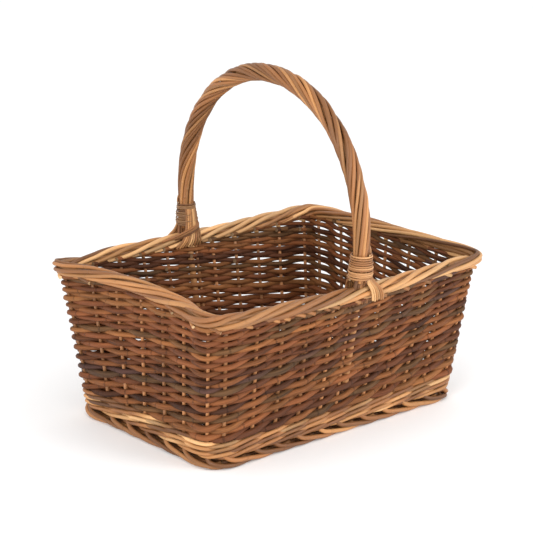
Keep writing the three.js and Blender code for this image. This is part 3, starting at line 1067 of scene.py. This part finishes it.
# %% Wind the bindings
TURNS, PER_TURN = 11, 24
LAST_TURN = 0.35
STRIP_RADIUS, STRIP_FLATNESS, END_FLATNESS = 0.8 * MM, 1.4, 1.8
BINDING_RADII = {"front": (13.2, 13.9, 11.6), "back": (13.7, 12.9, 10.8)}
RADII_AT = (0.0, 0.35, 1.0)  # shares of the binding's height
BINDING_MARGIN = 2.2 * MM
UPRIGHT, SIDEWAYS = np.array([0.0, 0.0, 1.0]), np.array([1.0, 0.2, 0.0])
TUCKED_END = ((7, 9.0, 42), (9, 9.5, 49), (8, 8.5, 56), (6.5, 8.5, 52))
for name, way in (("front", -1), ("back", 1)):
    low, high = (np.array(corner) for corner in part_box(f"handle_binding_{name}"))
    turns = np.linspace(0, TURNS + LAST_TURN, PER_TURN * TURNS)
    rise = (high[2] - low[2] - 2 * BINDING_MARGIN) * turns / (TURNS + LAST_TURN)
    z = low[2] + BINDING_MARGIN + rise + smooth_noise(len(turns), 14, 0.35 * MM)
    share = (z - low[2]) / (high[2] - low[2])
    swell = np.interp(share, RADII_AT, BINDING_RADII[name])
    radius = swell * MM + smooth_noise(len(turns), 9, 0.35 * MM)
    angle = 2 * np.pi * turns * way + 0.8
    spoke = np.stack([np.cos(angle), np.sin(angle), np.zeros(len(turns))], axis=1)
    leg = np.stack([np.zeros(len(turns)), way * leg_reach(z), z], axis=1)
    kind = np.clip(0.45 + smooth_noise(len(turns), 17, 0.5), 0, 1)
    binding = Rods()
    path = leg + spoke * radius[:, None]
    binding.add(path, STRIP_RADIUS, kind, flat=STRIP_FLATNESS, aim=UPRIGHT)
    binding.add(at_foot(way, TUCKED_END), STRIP_RADIUS, flat=END_FLATNESS, aim=SIDEWAYS)
    binding_piece = binding.build(f"binding_{name}", skein, cut_end)
    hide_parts(f"handle_binding_{name}")

# %% [markdown]
# ## The floor
#
# The basket stands on a white floor. A floor that only reflects light would come out
# greyer than the white all round it, so this one also glows very slightly.

# %% Lay the floor
FLOOR_REACH, FLOOR_WHITE, FLOOR_GLOW = 6.0, 0.94, 0.04


def make_floor():
    r = FLOOR_REACH
    mesh = bpy.data.meshes.new("floor")
    mesh.from_pydata([(-r, -r, 0), (r, -r, 0), (r, r, 0), (-r, r, 0)], [], [(0, 1, 2, 3)])
    floor = bpy.data.objects.new("floor", mesh)
    bpy.context.collection.objects.link(floor)
    white = bpy.data.materials.new("floor_white")
    white.use_nodes = True
    surface = white.node_tree.nodes["Principled BSDF"]
    surface.inputs["Base Color"].default_value = (FLOOR_WHITE, FLOOR_WHITE, FLOOR_WHITE, 1)
    surface.inputs["Roughness"].default_value = 0.9
    surface.inputs["Emission Color"].default_value = (1, 1, 1, 1)
    surface.inputs["Emission Strength"].default_value = FLOOR_GLOW
    mesh.materials.append(white)
    floor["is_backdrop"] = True


make_floor()
print("the floor reaches", FLOOR_REACH, "m each way")

# %% [markdown]
# ## The light
#
# Most of the light comes from a white sky all round, so the shadow is faint and the gaps
# in the weave stay readable. Two large soft lamps on the near side bring out the round
# shape of the rods. One strong lamp would be simpler, but it would leave the inside black.

# %% Light the basket
SKY_STRENGTH = 1.02
middle = (cad_low + cad_high) / 2


def turned_to(direction):
    """How a lamp or a camera is turned to face a direction."""
    return Vector(direction).to_track_quat("-Z", "Y").to_euler()


def add_lamp(name, place, size, power):
    lamp = bpy.data.lights.new(name, "AREA")
    lamp.size, lamp.energy = size, power
    holder = bpy.data.objects.new(name, lamp)
    holder.location = place
    holder.rotation_euler = turned_to(Vector(middle) - Vector(place))
    bpy.context.collection.objects.link(holder)


add_lamp("key", place=(0.9, -2.1, 1.0), size=1.2, power=26)
add_lamp("fill", place=(-2.0, -1.0, 0.9), size=1.2, power=26)
world = bpy.data.worlds.new("studio")
world.use_nodes = True
sky = world.node_tree.nodes["Background"]
sky.inputs["Color"].default_value = (1, 1, 1, 1)
sky.inputs["Strength"].default_value = SKY_STRENGTH
bpy.context.scene.world = world
bpy.context.scene.view_settings.view_transform = "Standard"
print("lights: key, fill and sky")

# %% [markdown]
# ## The camera
#
# The camera looks at a corner from a little above the rim. It could stand close with a wide
# lens, but that would make the near corner look too big. So it stands over two metres
# away, with a long lens.

# %% Place the camera
AZIMUTH, ELEVATION = math.radians(-40.6), math.radians(16.1)
DISTANCE = 2.231
LENS, SENSOR = 125.4, 36.0
AIM_OFFSET = np.array([-2.4, 2.0, -34.9]) * MM  # from the middle of the basket's box
lens = bpy.data.cameras.new("camera")
lens.sensor_width = SENSOR
lens.lens = LENS
camera = bpy.data.objects.new("camera", lens)
flat_reach = math.cos(ELEVATION)
back = np.array(
    [math.sin(AZIMUTH) * flat_reach, -math.cos(AZIMUTH) * flat_reach, math.sin(ELEVATION)]
)
camera.location = middle + AIM_OFFSET + back * DISTANCE
camera.rotation_euler = turned_to(-back)
bpy.context.collection.objects.link(camera)
bpy.context.scene.camera = camera
print("camera", DISTANCE, "m away, with a lens of", LENS, "mm")
